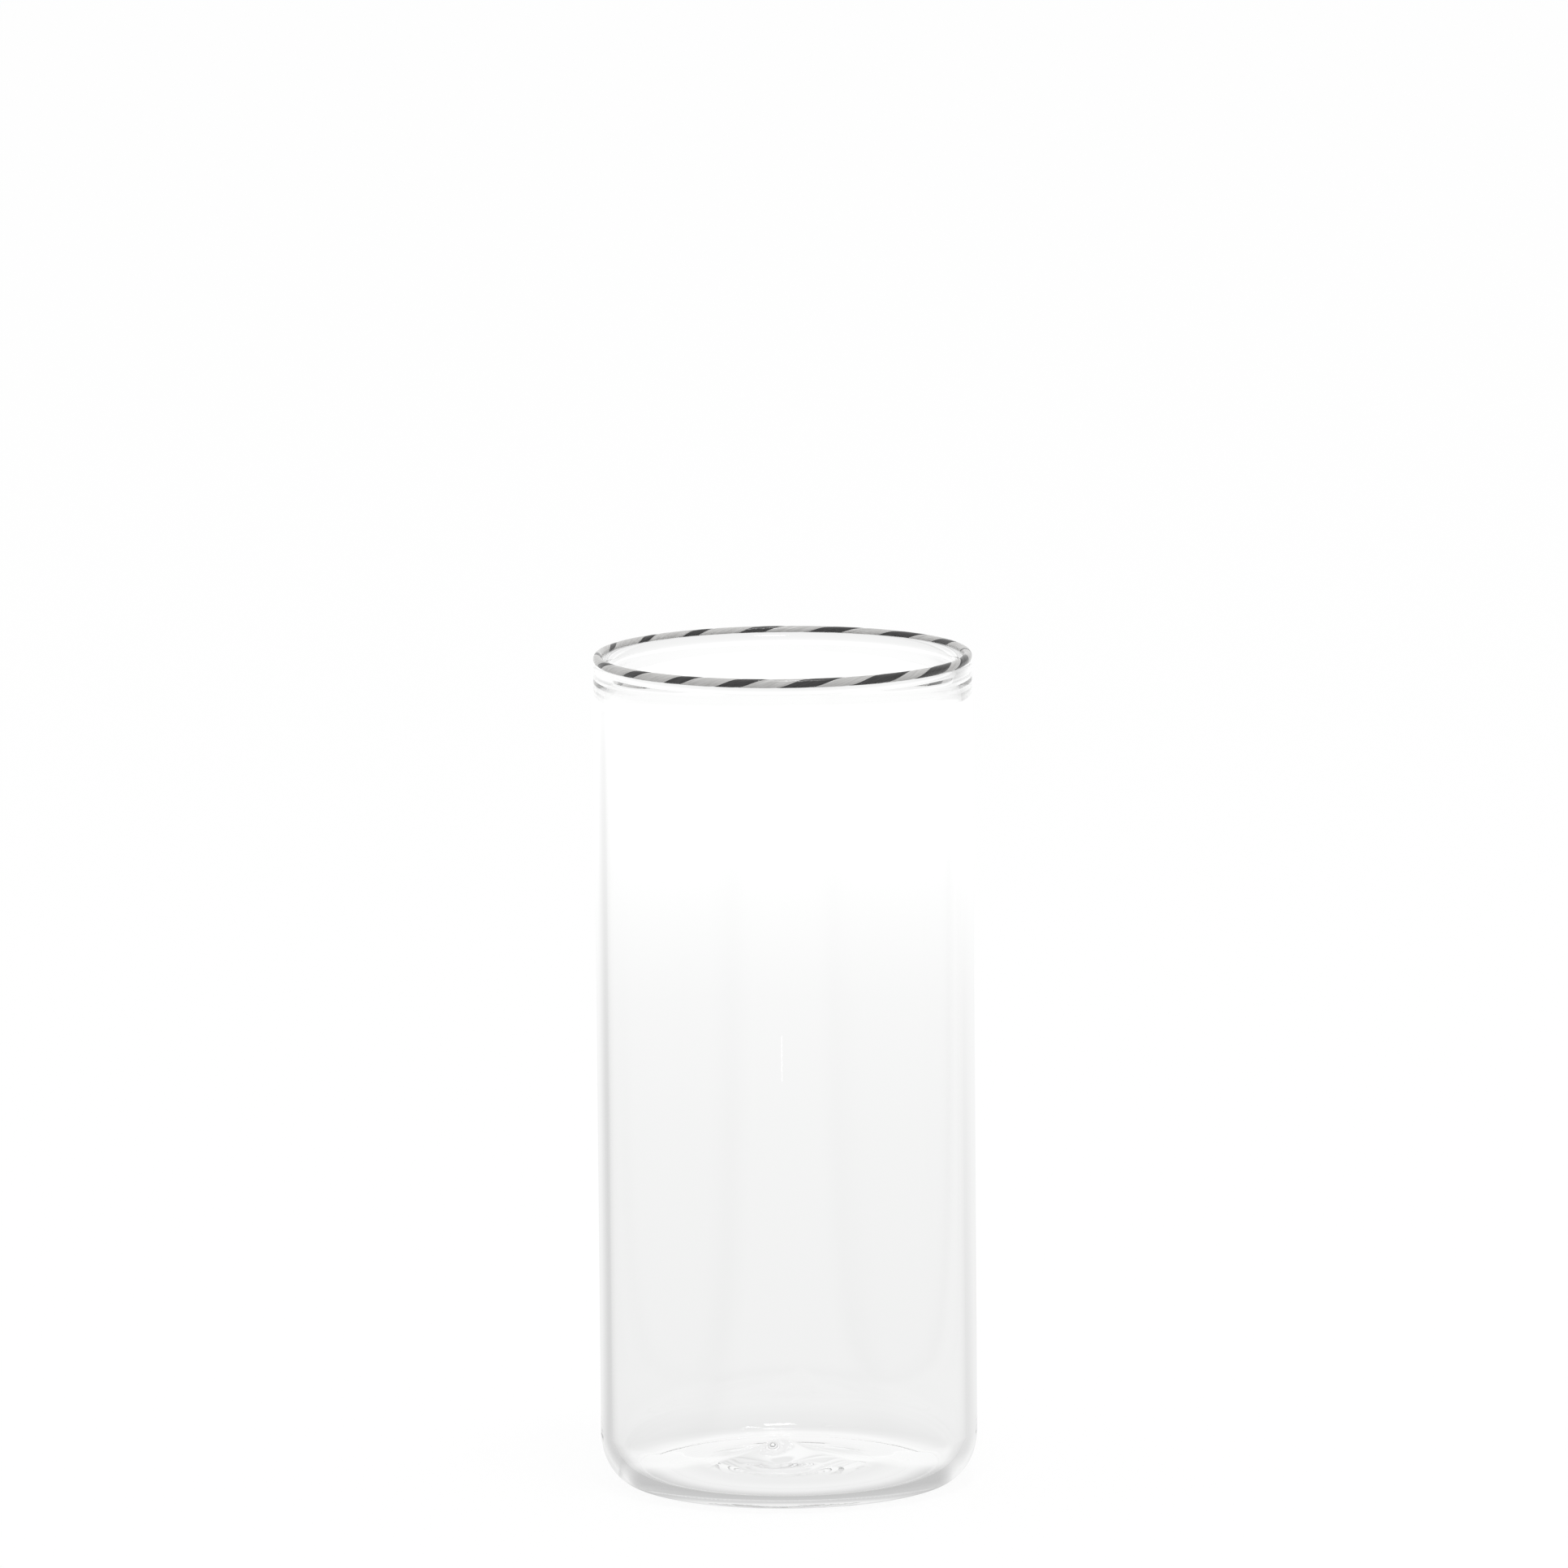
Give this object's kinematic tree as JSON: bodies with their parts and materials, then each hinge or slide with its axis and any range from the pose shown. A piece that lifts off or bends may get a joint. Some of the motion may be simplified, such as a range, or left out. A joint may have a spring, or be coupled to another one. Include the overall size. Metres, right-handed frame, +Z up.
{
  "type": "highball glass",
  "caption": "Straight thin-walled clear highball tumbler with a rounded base corner, a kick in the base and a rim of black and white glass threads twisted together.",
  "frame": {"origin": "centre of the flat ring that the glass stands on", "axes": "+Z up along the axis of the glass, -Y towards the front as pictured, +X to the right"},
  "size_m": [0.065, 0.065, 0.1442],
  "materials": {
    "clear_glass": "clear, fire-polished",
    "white_glass": "opaque white glass, glossy",
    "black_glass": "opaque black glass, glossy"
  },
  "bodies": {
    "root": {"glass_body": "clear_glass", "rim_white_thread": "white_glass", "rim_black_thread": "black_glass"}
  },
  "joints": []
}
